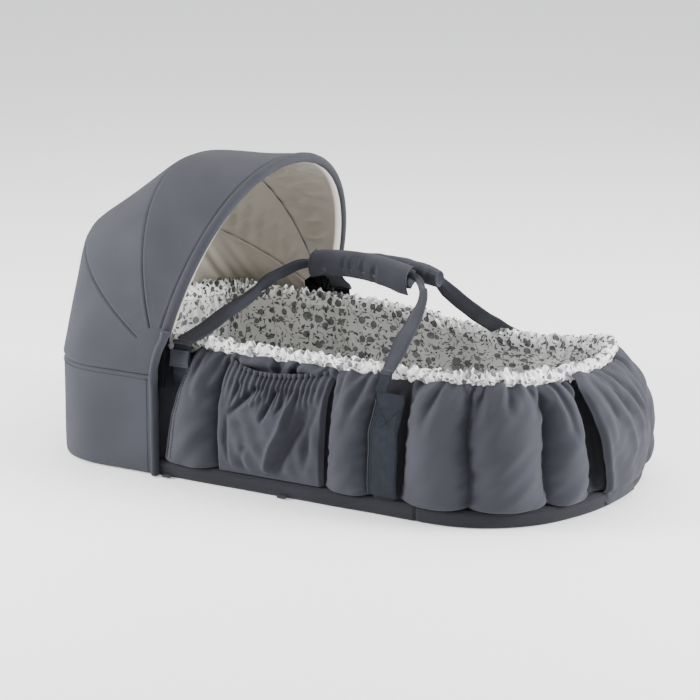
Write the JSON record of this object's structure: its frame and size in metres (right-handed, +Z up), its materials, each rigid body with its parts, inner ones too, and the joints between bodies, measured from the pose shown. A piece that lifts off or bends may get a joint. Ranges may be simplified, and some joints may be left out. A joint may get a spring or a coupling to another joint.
{
  "type": "baby nest",
  "caption": "Soft oval carrycot for a baby: stiff base, stuffed channelled wall, folding bow hood, swinging carrying handles and a gathered side pocket.",
  "frame": {"origin": "centre of the underside of the base", "axes": "+X towards the foot end, +Y towards the side without the pocket, +Z up"},
  "size_m": [0.76, 0.4282, 0.3842],
  "materials": {
    "slate_cloth": "matt woven polyester",
    "dark_cloth": "matt woven polyester",
    "webbing": "ribbed webbing",
    "printed_cotton": "printed cotton",
    "beige_lining": "soft sheen lining cloth",
    "wadding": "lofted polyester filling",
    "foam": "cloth-covered foam",
    "board": "thin hardboard",
    "elastic": "covered elastic",
    "bow_plastic": "matt moulded plastic",
    "rivet_steel": "plated steel"
  },
  "bodies": {
    "nest": {"base_board": "board", "base_tab_1": "dark_cloth", "base_tab_2": "dark_cloth", "base_tab_3": "dark_cloth", "base_tab_4": "dark_cloth", "bottom_cover": "dark_cloth", "far_foot_webbing": "webbing", "far_head_webbing": "webbing", "far_hinge_bracket": "bow_plastic", "far_hinge_rivet": "rivet_steel", "far_keeper_tab": "webbing", "far_wrap_piping": "slate_cloth", "foot_cover": "slate_cloth", "head_end_wrap": "slate_cloth", "hood_rear_lining": "beige_lining", "hood_rear_panel": "slate_cloth", "inner_lining": "printed_cotton", "mattress": "foam", "near_foot_webbing": "webbing", "near_head_webbing": "webbing", "near_hinge_bracket": "bow_plastic", "near_hinge_rivet": "rivet_steel", "near_keeper_tab": "webbing", "near_wrap_piping": "slate_cloth", "outer_cover": "slate_cloth", "pocket_elastic": "slate_cloth", "rim_elastic": "elastic", "rim_ruffle": "printed_cotton", "side_pocket": "slate_cloth", "wall_wadding": "wadding"},
    "hood_rear": {"rear_bow": "bow_plastic"},
    "hood_mid": {"mid_bow": "bow_plastic", "hood_mid_panel": "slate_cloth", "hood_mid_lining": "beige_lining"},
    "hood_front": {"front_bow": "bow_plastic", "hood_front_panel": "slate_cloth", "hood_front_lining": "beige_lining", "front_edge_binding": "slate_cloth"},
    "near_handle": {"near_handle_strap": "webbing", "near_grip": "slate_cloth", "grip_loop_tape": "dark_cloth"},
    "grip_flap_body": {"grip_flap": "slate_cloth", "grip_hook_tape": "dark_cloth"},
    "far_handle": {"far_handle_strap": "webbing", "far_grip": "slate_cloth"}
  },
  "joints": [
    {"name": "hood_rear_fold", "type": "hinge", "parent": "nest", "child": "hood_rear", "pos_m": [-0.17, 0, 0.156], "axis": [0, -1, 0], "range_deg": [0, 20], "deforming": ["hood_rear_panel", "hood_rear_lining"]},
    {"name": "hood_mid_fold", "type": "hinge", "parent": "hood_rear", "child": "hood_mid", "pos_m": [-0.17, 0, 0.156], "axis": [0, -1, 0], "range_deg": [0, 27], "deforming": ["hood_mid_panel", "hood_mid_lining"]},
    {"name": "hood_front_fold", "type": "hinge", "parent": "hood_mid", "child": "hood_front", "pos_m": [-0.17, 0, 0.156], "axis": [0, -1, 0], "range_deg": [0, 25.5], "deforming": ["hood_front_panel", "hood_front_lining"]},
    {"name": "near_handle_swing", "type": "hinge", "parent": "nest", "child": "near_handle", "pos_m": [0, -0.186, 0.172], "axis": [1, 0, 0], "range_deg": [0, 190]},
    {"name": "far_handle_swing", "type": "hinge", "parent": "nest", "child": "far_handle", "pos_m": [0, 0.186, 0.172], "axis": [-1, 0, 0], "range_deg": [0, 190]},
    {"name": "grip_flap_open", "type": "hinge", "parent": "near_handle", "child": "grip_flap_body", "pos_m": [0.014, -0.02152, 0.27263], "axis": [-1, 0, 0], "range_deg": [0, 120]}
  ],
  "couplings": [
    {"joint": "hood_mid_fold", "follows": "hood_rear_fold", "ratio": 1.35},
    {"joint": "hood_front_fold", "follows": "hood_rear_fold", "ratio": 1.275}
  ]
}
